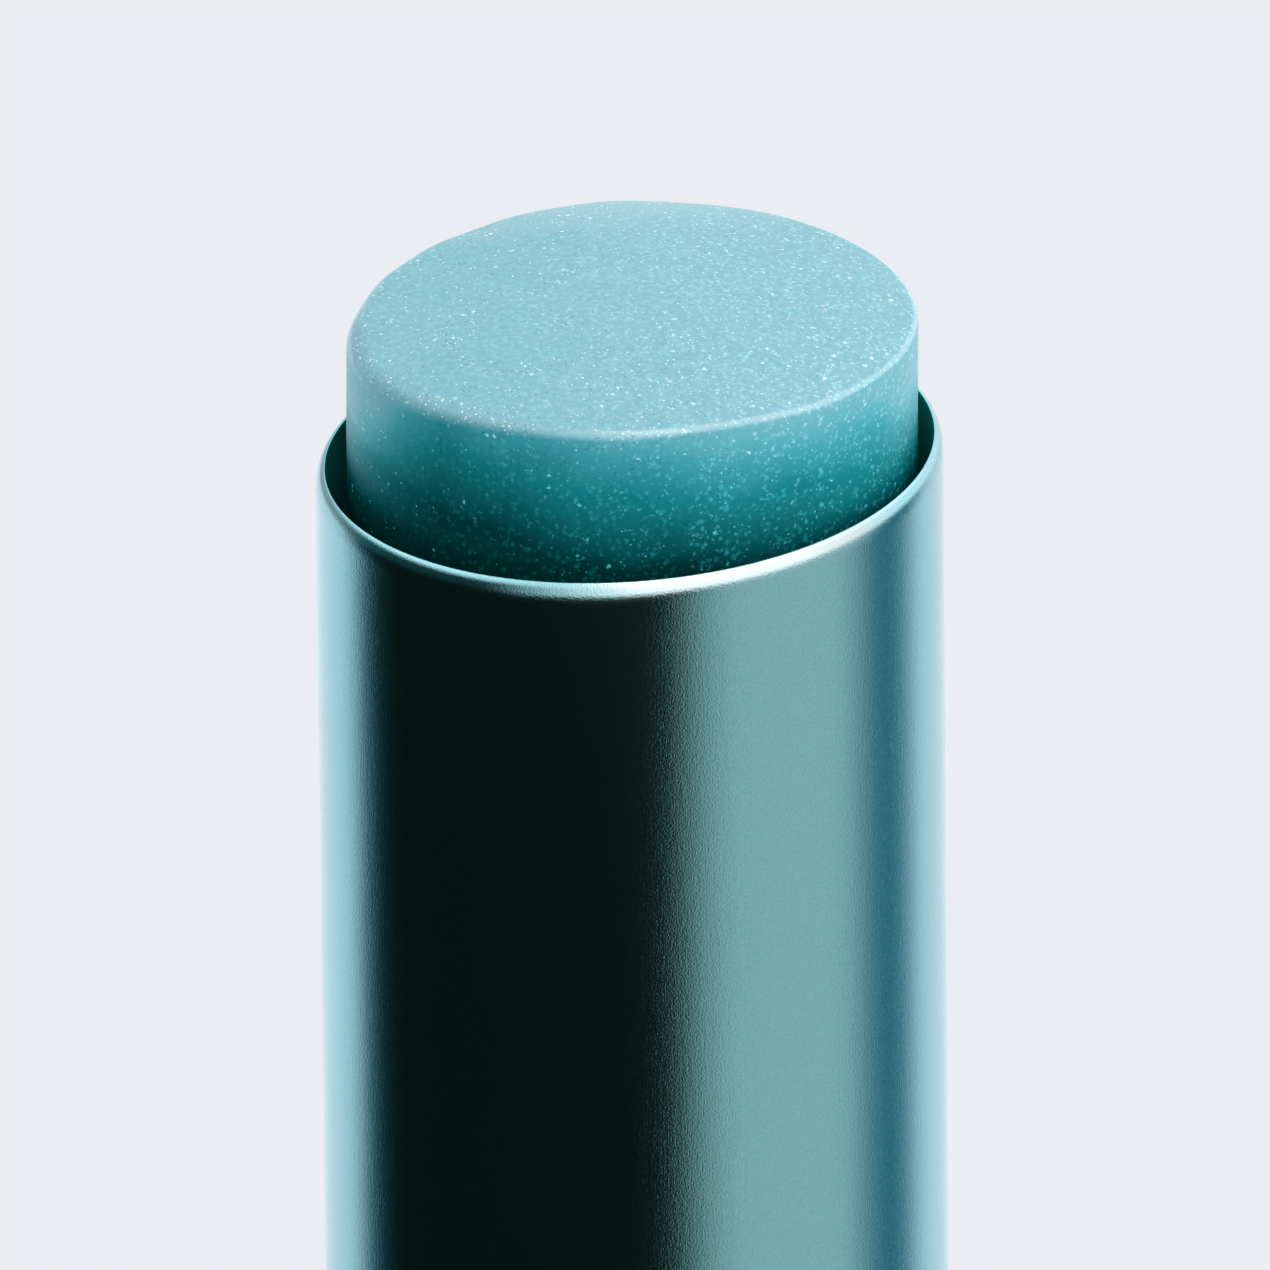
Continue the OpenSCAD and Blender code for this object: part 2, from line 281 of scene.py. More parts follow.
# %% Draw the screw
screw_r, lead, starts = 2.3, 3.0, 2
screw_low, screw_high = boxes["screw_spindle"][0].z * 1000, boxes["screw_spindle"][1].z * 1000
head_r, head_z, head_t, seat_r, groove_t = 4.38, 10.88, 2.1, 3.46, 1.1
hex_half, hex_chamfer = 2.0, 0.25
thread_z, thread_depth = 14.6, 0.45


def spindle_rings():
    """Rings up the hexagon, round the grooved head and up the threaded shaft."""
    t = np.arange(96) * 2 * math.pi / 96
    way = np.column_stack([np.cos(t), np.sin(t)])
    hexagon = (hex_half / np.cos((t % (math.pi / 3)) - math.pi / 6))[:, None]
    rings = [at_height(way * (hexagon - hex_chamfer), screw_low),
             at_height(way * hexagon, screw_low + hex_chamfer), at_height(way * hexagon, head_z - 0.04)]
    soft, lip = 0.08, (head_t - groove_t) / 2
    head = [(2.5, 0), (head_r - soft, 0), (head_r, soft), (head_r, lip - soft), (head_r - soft, lip),
            (seat_r + soft, lip), (seat_r, lip + soft), (seat_r, lip + groove_t - soft),
            (seat_r + soft, lip + groove_t), (head_r - soft, lip + groove_t), (head_r, lip + groove_t + soft),
            (head_r, head_t - soft), (head_r - soft, head_t), (screw_r + soft, head_t),
            (screw_r, head_t + soft)]
    rings += [at_height(way * r, head_z + z) for r, z in head]
    rows = np.linspace(thread_z, screw_high - 0.6, 200)
    for z in rows:
        turn = (starts * (t / (2 * math.pi) + z / lead)) % 1.0
        groove = 0.5 - 0.5 * np.cos(2 * math.pi * turn)
        ends = min(1.0, (z - rows[0]) / 0.8) * min(1.0, (rows[-1] - z) / 0.5)
        rings.append(at_height(way * (screw_r - thread_depth * groove ** 1.5 * ends)[:, None], z))
    rings.append(at_height(way * (screw_r - 0.6), screw_high))
    return rings


spindle = ring_mesh("threaded_spindle", spindle_rings(), cap_start=True, cap_end=True)
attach(spindle, "dial")
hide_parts("screw_spindle")
print("screw faces:", len(spindle.data.polygons))

# %% [markdown]
# ## Tools for the finishes
#
# Each finish is a small tree of shader nodes, and most of it is arithmetic on values that change from point
# to point. The nodes could be added one by one, but the sums would then be hard to read. Here a small class
# stands for such a value, and every + or * between two of them adds the maths node that does it.

# %% Values that change over a surface
class Field:
    """A number, colour, direction or shader that a node tree works out at every point."""

    def __init__(self, tree, socket):
        self.tree = tree
        self.socket = socket

    def __add__(self, other):
        return maths("ADD", self, other)

    def __sub__(self, other):
        return maths("SUBTRACT", self, other)

    def __rsub__(self, other):
        return maths("SUBTRACT", other, self)

    def __mul__(self, other):
        return maths("MULTIPLY", self, other)

    def __truediv__(self, other):
        return maths("DIVIDE", self, other)

    def clamped(self):
        """The same value, held between 0 and 1 by its maths node."""
        self.socket.node.use_clamp = True
        return self


def feed(node, values):
    """Give inputs of a node their values: fields, numbers, vectors or colours without alpha."""
    for key, value in values.items():
        socket = node.inputs[key]
        if isinstance(value, Field):
            value.tree.links.new(value.socket, socket)
        elif isinstance(value, tuple) and socket.type == "RGBA":
            socket.default_value = (*value, 1)
        else:
            socket.default_value = value


def add_node(tree, kind, values, output=0, **settings):
    """Add one node with its settings and inputs, and give back one of its outputs."""
    node = tree.nodes.new(kind)
    for setting, value in settings.items():
        setattr(node, setting, value)
    feed(node, values)
    return Field(tree, node.outputs[output])


def maths(operation, first, second):
    tree = (first if isinstance(first, Field) else second).tree
    return add_node(tree, "ShaderNodeMath", {0: first, 1: second}, operation=operation)


def vector_maths(operation, *values):
    tree = values[0].tree
    output = "Value" if operation in ("DOT_PRODUCT", "LENGTH") else "Vector"
    return add_node(tree, "ShaderNodeVectorMath", dict(enumerate(values)), output, operation=operation)


def split(vector):
    """The three parts of a vector."""
    node = vector.tree.nodes.new("ShaderNodeSeparateXYZ")
    feed(node, {0: vector})
    return [Field(vector.tree, output) for output in node.outputs]


print("fields ready: sums of them build the node trees")

# %% [markdown]
# ## Patterns, mixes and shaders
#
# Object coordinates are in metres, so they are scaled to millimetres first and every texture size below can
# be read as a real size. They also stay with a piece when it moves, so its pattern is carried along. The
# other helpers here each stand for one node that the finishes use again and again.

# %% Helpers for patterns and mixes
def millimetres(tree, stretch=(1, 1, 1)):
    """The place on the object in mm, with each axis scaled by `stretch`."""
    coords = add_node(tree, "ShaderNodeTexCoord", {}, "Object")
    return add_node(tree, "ShaderNodeMapping", {"Vector": coords, "Scale": tuple(1000 * s for s in stretch)})


def noise(place, per_mm, detail, rough, output="Fac"):
    """Cloudy noise with about `per_mm` blobs in a millimetre."""
    values = {"Vector": place, "Scale": per_mm, "Detail": detail, "Roughness": rough}
    return add_node(place.tree, "ShaderNodeTexNoise", values, output)


def ramp(value, stops):
    """A grey or colour for each value, running straight from stop to stop."""
    node = value.tree.nodes.new("ShaderNodeValToRGB")
    elements = node.color_ramp.elements
    for index, (place, colour) in enumerate(stops):
        element = elements[index] if index < 2 else elements.new(place)
        element.position = place
        colour = (colour,) * 3 if isinstance(colour, (int, float)) else colour
        element.color = (*colour, 1)
    feed(node, {"Fac": value})
    return Field(value.tree, node.outputs["Color"])


def mix_colour(share, first, second):
    """The first colour, giving way to the second as `share` goes from 0 to 1."""
    return add_node(share.tree, "ShaderNodeMix", {0: share, 6: first, 7: second}, 2, data_type="RGBA")


def mix_direction(share, first, second):
    mixed = add_node(share.tree, "ShaderNodeMix", {0: share, 4: first, 5: second}, 1, data_type="VECTOR")
    return vector_maths("NORMALIZE", mixed)


def mix_shaders(share, first, second):
    return add_node(share.tree, "ShaderNodeMixShader", {0: share, 1: first, 2: second})


def smooth_rise(value, low, high):
    """0 below `low`, 1 above `high` and a soft step between them."""
    values = {"Value": value, "From Min": low, "From Max": high}
    return add_node(value.tree, "ShaderNodeMapRange", values, "Result", interpolation_type="SMOOTHSTEP")


def bump(height, strength, height_mm, normal=None):
    """A surface normal that a height field of `height_mm` tilts."""
    values = {"Height": height, "Strength": strength, "Distance": height_mm * MM}
    if normal is not None:
        values["Normal"] = normal
    return add_node(height.tree, "ShaderNodeBump", values)


def surface_normal(tree):
    return add_node(tree, "ShaderNodeNewGeometry", {}, "Normal")


def looked_at(tree):
    """1 for a ray that shows a surface, also mirrored or through glass, and 0 for one that only lights."""
    node = tree.nodes.new("ShaderNodeLightPath")
    camera, glossy, clear = (Field(tree, node.outputs[f"Is {ray} Ray"])
                             for ray in ("Camera", "Glossy", "Transmission"))
    return maths("MAXIMUM", camera, maths("MAXIMUM", glossy, clear))


def new_material(name):
    mat = bpy.data.materials.new(name)
    mat.use_nodes = True
    tree = mat.node_tree
    return mat, tree, tree.nodes["Principled BSDF"]


def dress(finish, *pieces):
    """Give each piece this finish in place of any other."""
    for piece in pieces:
        piece.data.materials.clear()
        piece.data.materials.append(finish)


print("pattern and mix helpers ready")

# %% [markdown]
# ## Anodised aluminium
#
# The case is dyed in the anodising bath: the colour sits in a thin clear oxide over bare metal. So it
# reflects as a metal with a teal tint that goes pale at grazing angles, under a weak clear layer. The
# surface was brushed along the tube and then etched, which leaves faint vertical lines and a fine grain of
# about a twentieth of a millimetre that widens each reflection. The rim's round is burnished by the forming
# roll, so it is paler. The bore was never brushed, so it is duller. Its tint is also painted a brighter,
# deeper green: painted light that stands in for light going to and fro in the bore and meeting the dye
# more than once.

# %% Make the anodised finish
dye_dark, dye_light = (0.195, 0.455, 0.48), (0.255, 0.52, 0.545)
dye_burnished, painted_bore_bounce_tint = (0.42, 0.56, 0.58), (0.04, 0.82, 0.78)
grain_per_mm, lines_per_mm = 19.0, 18.0
grain_stretch, line_stretch = (1, 1, 0.8), (1, 1, 0.05)
smoothest, line_rough, bore_rough = 0.12, 0.06, 0.3
burnish_start, burnish_rise, burnish_most = rim_z - 0.62, 0.45, 0.45
facing_in = -2.0  # the normal times the place in mm, well below 0 on any inner wall


def in_the_bore(place):
    """1 on a wall that faces the middle of the tube, 0 elsewhere."""
    outwards = vector_maths("MULTIPLY", place, (1, 1, 0))
    return maths("LESS_THAN", vector_maths("DOT_PRODUCT", surface_normal(place.tree), outwards), facing_in)


def anodised(name, has_rim=False):
    mat, tree, shader = new_material(name)
    place = millimetres(tree)
    grain = noise(millimetres(tree, grain_stretch), grain_per_mm, 1.5, 0.5)
    lines = noise(millimetres(tree, line_stretch), lines_per_mm, 2.0, 0.6)
    tint = mix_colour(ramp(grain, [(0.3, 0.0), (0.7, 1.0)]), dye_dark, dye_light)
    rough = lines * line_rough + smoothest
    if has_rim:
        _, _, z = split(place)
        rise = (z - burnish_start).clamped()
        burnished = ramp(rise, [(0.0, 0.0), (burnish_rise, 1.0)]) * burnish_most
        # The bore's tint is painted light: brighter and greener for the light bounced to and fro in it.
        bore = in_the_bore(place)
        tint = mix_colour(bore, mix_colour(burnished, tint, dye_burnished), painted_bore_bounce_tint)
        rough = rough + bore * bore_rough
    normal = bump(grain, 0.50, 0.013, bump(lines, 0.18, 0.014))
    feed(shader, {"Base Color": tint, "Roughness": rough, "Metallic": 1.0, "Coat Weight": 0.06,
                  "Coat Roughness": 0.2, "Normal": normal})
    return mat


dress(anodised("anodised_teal_metal", has_rim=True), sleeve, nodes["sleeve"])
dress(anodised("anodised_dial_metal"), cover, nodes["dial_cover"])
print("anodised finish on", sleeve.name, "and", cover.name)

# %% [markdown]
# ## Balm: where a point of the stick lies
#
# The balm lets light in for a millimetre or two. Where it stands clear of the case, light floods it and it
# reads pale blue-teal; lower down less light arrives and the same wax reads deep teal. At its two sides the
# stick is thin against the light, so it is paler there too. All of this could be left to subsurface light
# alone, but that is slow and noisy for such a dense wax. So this light and shade is painted: a light level
# is worked out from the place on the stick, the colour follows it, and only a little light is let in.

# %% Measure the places on the stick
balm_half = 8.9  # from the stick's middle to its sharper side, in mm


def stick_places(tree):
    """The values that the layers of the finish share, from the place and the way the surface faces."""
    at = SimpleNamespace(place=millimetres(tree))
    at.x, at.y, at.z = split(at.place)
    at.aside = at.x * sharper_side[0] + at.y * sharper_side[1]
    at.level = light_level(at)
    _, _, at.facing = split(surface_normal(tree))
    at.up = ramp(at.facing, [(0.08, 0.0), (0.7, 1.0)])
    at.crease = ramp(at.facing, [(0.05, 0.0), (0.4, 1.0), (0.8, 1.0), (0.995, 0.0)])
    # Rises to the right, where the light comes from; it strengthens the painted streak and the flecks there.
    at.to_right = (at.aside * 0.06 + 0.64).clamped()
    at.mottle = noise(at.place, 4.5, 3.0, 0.7)
    at.mottled = ramp(at.mottle, [(0.44, 0.0), (0.68, 1.0)])
    return at


def light_level(at):
    """0 for wax that little light reaches, 1 for wax that stands clear or is thin against the light."""
    deepest, fade = rim_z + 0.9, 5.2
    lean = at.aside * (0.216 - at.aside * 0.007)
    height = at.z - deepest + noise(at.place, 0.3, 2.0, 0.5) * 1.6 + lean
    below_rim = ((rim_z - 0.4 - at.z) / 3.5).clamped()
    level = maths("MAXIMUM", (height / fade).clamped(), below_rim * 0.27)
    thin_left = ramp(at.aside * (-1 / balm_half), [(0.66, 0.0), (0.81, 0.34), (0.90, 0.62), (1.0, 0.95)])
    thin_right = ramp(at.aside / balm_half, [(0.84, 0.0), (1.0, 0.3)])
    above_rim = ((at.z - (rim_z + 0.2)) / 2.5).clamped()
    return (level + (thin_left + thin_right) * above_rim).clamped()


print(f"the balm pales from {rim_z + 0.9:.1f} mm up, over about 5 mm")

# %% [markdown]
# ## Balm: the wax
#
# The colour of the wax is painted by the light level, deep where little light reaches and pale where it
# floods in. The top is lit from above all over, so it is painted one pale lit colour, mottled where the
# shimmer lies in drifts, and paler towards the back, a painted glow where light shines through the thin
# back edge. Along the top's edge a light streak is painted, stronger to the right: a painted highlight
# where the edge catches the light.

# %% Colour the wax
# Colours for the painted light level, from deep in shade to pale in full light.
painted_light_wax_colours = [(0.0, (0.0004, 0.046, 0.046)), (0.22, (0.0006, 0.110, 0.122)), (0.5, (0.002, 0.21, 0.235)),
              (0.75, (0.035, 0.34, 0.395)), (0.88, (0.09, 0.41, 0.475)), (1.0, (0.16, 0.45, 0.52))]
crown_dark, crown_light, back_edge_glow = (0.178, 0.402, 0.452), (0.240, 0.475, 0.525), (0.31, 0.49, 0.525)
haze_colour, crease_highlight_colour = (0.03, 0.42, 0.45), (0.42, 0.68, 0.73)


def lit_wax_colour(at):
    # The colour is painted by the light level, with the shimmer's haze stronger where it is pale.
    hazy = mix_colour(at.mottled * 0.20 * at.level, ramp(at.level, painted_light_wax_colours), haze_colour)
    # Painted light: the top pales towards its thin back edge, where light shines through it.
    back_glow = ramp((at.y + at.x * 0.15) / 7.4, [(0.62, 0.0), (0.97, 0.85)])
    # Painted light: faces that look up take the top's pale lit colour.
    crown = mix_colour(back_glow, mix_colour(at.mottled, crown_dark, crown_light), back_edge_glow)
    # Painted highlight along the top's edge, stronger to the right, where the light comes from.
    crease_highlight = ramp(at.facing, [(0.25, 0.0), (0.5, 1.0), (0.78, 1.0), (0.93, 0.0)])
    return mix_colour(crease_highlight * at.to_right * 0.35, mix_colour(at.up, hazy, crown), crease_highlight_colour)


print("wax colours:", len(painted_light_wax_colours), "depths from deep to pale")

# %% [markdown]
# ## Balm: the shimmer
#
# Fine silver flakes float in the wax: at any moment a few face the light and flash, the rest only haze the
# colour. Loose grains could be scattered as real geometry, but thousands of flakes under the skin of a
# stick would cost far more than they show. A Voronoi pattern gives each flake its own cell and its own
# random numbers instead, and only the cells with a high number flash: these flashes are painted glints,
# bright colour in the wax. Flakes that lie deeper show as soft pale blotches. The painted flashes are set
# denser along the top's edge, on faces that look up and where the painted light level is high.

# %% Scatter the flakes
def scattered(place, per_mm, radius, limit, channel):
    """Soft flecks in the cells whose random number passes `limit`, with each cell's colour and strength."""
    cells = place.tree.nodes.new("ShaderNodeTexVoronoi")
    feed(cells, {"Scale": per_mm, "Vector": place})
    distance, colour = (Field(place.tree, cells.outputs[name]) for name in ("Distance", "Color"))
    pick = place.tree.nodes.new("ShaderNodeSeparateColor")
    feed(pick, {0: colour})
    chance, strength = (Field(place.tree, pick.outputs[c % 3]) for c in (channel, channel + 1))
    near = ramp(distance, [(radius * 0.55, 1.0), (radius, 0.0)])
    return near * maths("GREATER_THAN", chance, limit), colour, strength


def ragged_place(at):
    """The place pushed about by fine noise, so that flecks drawn in it have torn outlines."""
    return vector_maths("MULTIPLY_ADD", noise(at.place, 9.0, 2.0, 0.5, "Color"), (0.22, 0.22, 0.22), at.place)


def flashes(at, torn):
    """How strongly the painted flashes show, and a random colour for each of them."""
    # More painted flashes where the surface faces up, along the crease and where the painted light is high.
    denser_where_lit = maths("MAXIMUM", at.crease * 0.32 + at.up * 0.20, ramp(at.level, [(0.65, 0.0), (0.92, 0.13)]))
    spark, colour, strength = scattered(at.place, 8.5, 0.32, 0.97 - at.to_right * 0.06 - denser_where_lit, 1)
    spark = spark * (maths("POWER", strength, 1.7) * 0.82 + 0.16)
    drifts = ramp(noise(at.place, 0.9, 2.0, 0.6), [(0.36, 0.35), (0.62, 1.0)])
    glint, _, strength = scattered(torn, 5.0, 0.34, 0.95 - denser_where_lit * 0.34, 2)
    return maths("MAXIMUM", spark, (glint * strength * drifts * 1.35).clamped()), colour


print("flake patterns ready: 5 to 8.5 cells in a millimetre")

# %% [markdown]
# ## Balm: one finish from its layers
#
# The layers go over the wax from the deepest to the nearest: dark specks and soft blotches, then flakes,
# then flashes on top. One colour could be painted for all of them, but as layers each can be made rarer or
# brighter by itself. A flash also tilts the surface its own way, so that it catches its own bit of the
# light, and the wax's gloss fades under it. The smooth crease along the top's edge is glossier than the rest.

# %% Make the balm's finish
speck_colour = (0.004, 0.06, 0.075)
# Blotch and flake colours follow the painted light level, from deep to pale.
blotch_colours = [(0.0, (0.004, 0.28, 0.30)), (0.6, (0.05, 0.50, 0.55)), (1.0, (0.30, 0.64, 0.70))]
flake_colours = [(0.0, (0.03, 0.44, 0.48)), (0.6, (0.16, 0.66, 0.72)), (1.0, (0.42, 0.78, 0.83))]
# Colours of the painted flashes, paler where the painted light is higher, and painted white on the top.
flash_colours = [(0.0, (0.10, 0.72, 0.78)), (0.6, (0.30, 0.90, 0.96)), (0.85, (0.62, 0.97, 1.0))]
flash_on_top = (0.92, 1.0, 1.0)


def flecked_colour(at, colour, torn, flash):
    """The wax's colour with its specks, blotches, flakes and flashes."""
    speck, _, _ = scattered(at.place, 8.0, 0.26, 0.80, 2)
    colour = mix_colour(speck * 0.7 * (1.0 - at.x * 0.35).clamped(), colour, speck_colour)
    # Blotches and flakes are painted stronger to the right, where the light comes from.
    blotch, _, strength = scattered(torn, 5.0, 0.55, 0.58, 0)
    colour = mix_colour(blotch * strength * (at.to_right * 0.75), colour, ramp(at.level, blotch_colours))
    flake, _, strength = scattered(torn, 7.0, 0.50, 0.72, 1)
    colour = mix_colour(flake * strength * (at.to_right * 0.62), colour, ramp(at.level, flake_colours))
    return mix_colour(flash * 0.95, colour, mix_colour(at.up, ramp(at.level, flash_colours), flash_on_top))


def balm_finish(name):
    mat, tree, shader = new_material(name)
    at = stick_places(tree)
    torn = ragged_place(at)
    flash, flash_random = flashes(at, torn)
    gloss = ramp(at.level, [(0.0, 0.0), (0.55, 0.06), (1.0, 0.24)]) * (1.0 - flash).clamped()
    any_way = vector_maths("MULTIPLY_ADD", flash_random, (2, 2, 2), (-1, -1, -1))
    feed(shader, {"Base Color": flecked_colour(at, lit_wax_colour(at), torn, flash),
                  "Roughness": at.mottle * 0.16 + 0.32, "IOR": 1.45, "Specular IOR Level": gloss,
                  "Coat Weight": at.crease * 0.7, "Coat Roughness": 0.08,
                  "Subsurface Weight": 0.25, "Subsurface Radius": (0.3, 1.0, 1.1),
                  "Subsurface Scale": 0.8 * MM,
                  "Normal": mix_direction(flash * 0.5, bump(at.mottle, 0.35, 0.03), any_way)})
    return mat


balm_wax = balm_finish("balm_wax_shimmer")
dress(balm_wax, balm, nodes["balm"])
print("balm finish made with", len(balm_wax.node_tree.nodes), "nodes")

# %% [markdown]
# ## Moulded plastics and rubber
#
# The plug and the core of the dial are dark moulded plastic with the fine dull texture of a spark-eroded
# mould. The carrier is milky and a little clear, as unpigmented plastic is, and the screw is white and
# smooth. The friction ring is soft black rubber. They differ in base colour, roughness and grain only, so
# one function makes them all.

# %% Make the moulded finishes
def moulded(name, colour, rough, grain_mm, strength, clear=0.0):
    """A moulded surface; `clear` is the share of light that enters the plastic."""
    mat, tree, shader = new_material(name)
    place = millimetres(tree)
    grain = noise(place, 1 / grain_mm, 3.0, 0.55)
    cloudy = ramp(noise(place, 0.3, 2.0, 0.5), [(0.3, 0.0), (0.7, 1.0)])
    darker = tuple(c * 0.82 for c in colour)
    feed(shader, {"Base Color": mix_colour(cloudy, darker, colour), "Roughness": grain * 0.15 + rough,
                  "Normal": bump(grain, strength, 0.02)})
    if clear:
        feed(shader, {"Subsurface Weight": clear, "Subsurface Radius": (1.0, 1.0, 0.9),
                      "Subsurface Scale": 0.6 * MM})
    return mat


moulded_finishes = {
    "bearing_plug": moulded("dark_moulded_plug", (0.035, 0.062, 0.066), 0.42, 0.08, 0.3),
    "dial_core": moulded("dark_moulded_core", (0.03, 0.05, 0.054), 0.45, 0.09, 0.3),
    "carrier_cup": moulded("milky_moulded_cup", (0.66, 0.72, 0.73), 0.28, 0.12, 0.12, clear=0.4),
    "screw_spindle": moulded("white_moulded_screw", (0.74, 0.76, 0.76), 0.25, 0.1, 0.1, clear=0.2),
    "friction_ring": moulded("black_rubber_ring", (0.015, 0.015, 0.015), 0.5, 0.06, 0.25),
}
for name, finish in moulded_finishes.items():
    dress(finish, nodes[name])
dress(moulded_finishes["screw_spindle"], spindle)
print("moulded finishes:", ", ".join(sorted(moulded_finishes)))

# %% [markdown]
# ## The floor
#
# A plain pale floor runs on without an edge. Close to the object it is a real matt surface that takes the
# soft shadow of the foot; further out it fades into one even pale level, so the picture's background stays
# as plain as a lit paper sweep.

# %% Lay the floor
BACKGROUND = (0.826, 0.847, 0.887)
floor_radius = 6.0
paper = (0.80, 0.815, 0.84)
fade_from, fade_to = 24.0, 56.0


def floor_material():
    mat, tree, shader = new_material("pale_paper_floor")
    feed(shader, {"Base Color": paper, "Roughness": 0.9, "Specular IOR Level": 0.1})
    far = smooth_rise(vector_maths("LENGTH", millimetres(tree)), fade_from, fade_to)
    even = add_node(tree, "ShaderNodeEmission", {"Color": BACKGROUND})
    surface = mix_shaders(looked_at(tree) * far, Field(tree, shader.outputs[0]), even)
    feed(tree.nodes["Material Output"], {"Surface": surface})
    return mat


bpy.ops.mesh.primitive_circle_add(vertices=96, radius=floor_radius, fill_type="NGON", location=(0, 0, 0))
floor = bpy.context.object
floor.name = "floor"
dress(floor_material(), floor)
print(f"floor laid, {2 * floor_radius:.0f} m across")

# %% [markdown]
# ## Paint for the cards that the metal mirrors
#
# A satin metal tube shows the room more than itself: its light and dark bands are soft boxes and black
# flags stood round it. Real panels could stand there, but every edge would have to be found by moving them.
# Painting one round card by angle keeps each edge of each band in one list.

# %% Make the paint for the cards
CAMERA_AZIMUTH, CAMERA_ELEVATION = -21.6, 29.8
CARD_RADIUS, DRUM_HEIGHT = 0.075, 0.05


def painted(tree, place, rows):
    """Light by angle; a colour ramp holds at most 1, so the brightest level goes to the strength."""
    brightest = max(level * max(colour) for _, level, colour in rows)
    stops = [((angle + 180) / 360, tuple(level * c / brightest for c in colour))
             for angle, level, colour in rows]
    return add_node(tree, "ShaderNodeEmission", {"Color": ramp(place, stops), "Strength": brightest})


def card_material(name, bands, zones=()):
    """bands: (degrees to the right of the camera, brightness, colour) in rising order from -180 to 180;
    zones: (from, to, bands), each taking over between two heights given in degrees above the horizon."""
    mat, tree, shader = new_material(name)
    tree.nodes.remove(shader)
    x, y, z = split(add_node(tree, "ShaderNodeTexCoord", {}, "Object"))
    place = maths("ARCTAN2", x, y * -1.0) / (2 * math.pi) + 0.5
    light = painted(tree, place, bands)
    for low, high, rows in zones:
        heights = [CARD_RADIUS * math.sin(math.radians(degrees)) for degrees in (low, high)]
        light = mix_shaders(smooth_rise(z, *heights), light, painted(tree, place, rows))
    feed(tree.nodes["Material Output"], {"Surface": light})
    return mat


WHITE, COOL, BLUE, BLACK = (1.0, 1.0, 1.0), (0.95, 1.0, 1.08), (0.22, 0.85, 1.15), (0.005, 0.013, 0.009)
WARM, TEAL, SKY, DUSK = (1.5, 1.0, 0.99), (0.2, 0.9, 1.0), (0.88, 1.08, 1.14), (0.90, 1.0, 1.0)
bands = [(-180, 1.05, COOL), (-120, 1.1, COOL), (-109, 0.85, COOL), (-99, 0.16, BLUE), (-88, 1.0, BLACK),
         (23, 1.0, BLACK), (32, 0.53, DUSK), (41, 0.80, WHITE), (80, 0.82, WHITE), (95, 0.29, BLUE),
         (108, 0.29, BLUE), (124, 1.05, COOL), (180, 1.05, COOL)]
low_bands = [(-180, 0.95, SKY), (-140, 0.55, SKY), (-112, 0.42, SKY), (-95, 0.18, TEAL), (-80, 0.07, TEAL),
             (-32, 0.05, TEAL), (-16, 0.7, SKY), (0, 1.5, WHITE), (14, 2.0, WARM), (60, 2.0, WARM),
             (82, 1.5, WARM), (100, 1.4, SKY), (135, 1.4, COOL), (180, 0.95, COOL)]
high_bands = [(-180, 1.5, SKY), (-70, 1.5, SKY), (-20, 1.2, SKY), (0, 1.7, WHITE), (14, 2.3, WARM),
              (20, 7.0, WHITE), (32, 7.0, WHITE), (40, 2.3, WARM), (70, 2.3, WARM), (98, 1.9, WARM),
              (130, 2.1, COOL), (180, 1.5, COOL)]
card_finish = card_material("reflected_cards", bands)
dome_finish = card_material("reflected_dome", bands, [(-14, -1, low_bands), (15, 50, high_bands)])
print("card paint:", len(bands), "stops round the drum,", len(low_bands) + len(high_bands), "on the dome")

# %% [markdown]
# ## What the metal mirrors
#
# One low drum of card stands round the object, seen only in reflections, and its brightness changes on the
# way round: black in front and to the left, a soft box at the front right, a dimmer gap and bright paper
# behind. Above the drum a dome closes the room. It is what the rim's round mirrors: a large warm soft box
# at the front right and overhead, and a dark side wall at the left that only brightens high up.

# %% Stand the cards round the object
bpy.ops.mesh.primitive_cylinder_add(vertices=128, radius=CARD_RADIUS, depth=DRUM_HEIGHT,
                                    end_fill_type="NOTHING", location=(0, 0, DRUM_HEIGHT / 2))
drum = bpy.context.object
drum.name = "reflected_cards"
bpy.ops.mesh.primitive_circle_add(vertices=128, radius=CARD_RADIUS, fill_type="NGON", location=(0, 0, 0.0002))
table_card = bpy.context.object
table_card.name = "cards_on_the_floor"

dome_low = math.asin((DRUM_HEIGHT - rim_z * MM) / CARD_RADIUS)
dome_heights = np.linspace(dome_low, math.pi / 2 - 0.02, 48)
round_t = np.arange(96) * 2 * math.pi / 96
round_way = np.column_stack([np.cos(round_t), np.sin(round_t)])
dome_rings = [at_height(round_way * CARD_RADIUS / MM * math.cos(h), CARD_RADIUS / MM * math.sin(h))
              for h in dome_heights]
dome = ring_mesh("soft_boxes_above", dome_rings, cap_end=True)
dome.location = (0, 0, rim_z * MM)

for card, finish in ((drum, card_finish), (table_card, card_finish), (dome, dome_finish)):
    card.rotation_euler = (0, 0, math.radians(CAMERA_AZIMUTH))
    dress(finish, card)
    for ray in ("camera", "diffuse", "shadow", "transmission", "volume_scatter"):
        setattr(card, "visible_" + ray, False)
print(f"drum and dome of {CARD_RADIUS / MM:.0f} mm radius, joined {DRUM_HEIGHT / MM:.0f} mm above the floor")

# %% [markdown]
# ## The lights
#
# Soft light comes from three square panels: one high up and a little behind, the largest at the front
# right, and a small cool one low at the back left. They are wide for their distance, so shadows have no hard
# edge. They only light the surfaces, because what is mirrored is all painted on the drum and the dome.

# %% Hang the panels
def direction(azimuth, elevation):
    """The way towards a place that lies `azimuth` degrees to the right of the camera and that high."""
    a, e = math.radians(CAMERA_AZIMUTH + azimuth), math.radians(elevation)
    return Vector((math.sin(a) * math.cos(e), -math.cos(a) * math.cos(e), math.sin(e)))


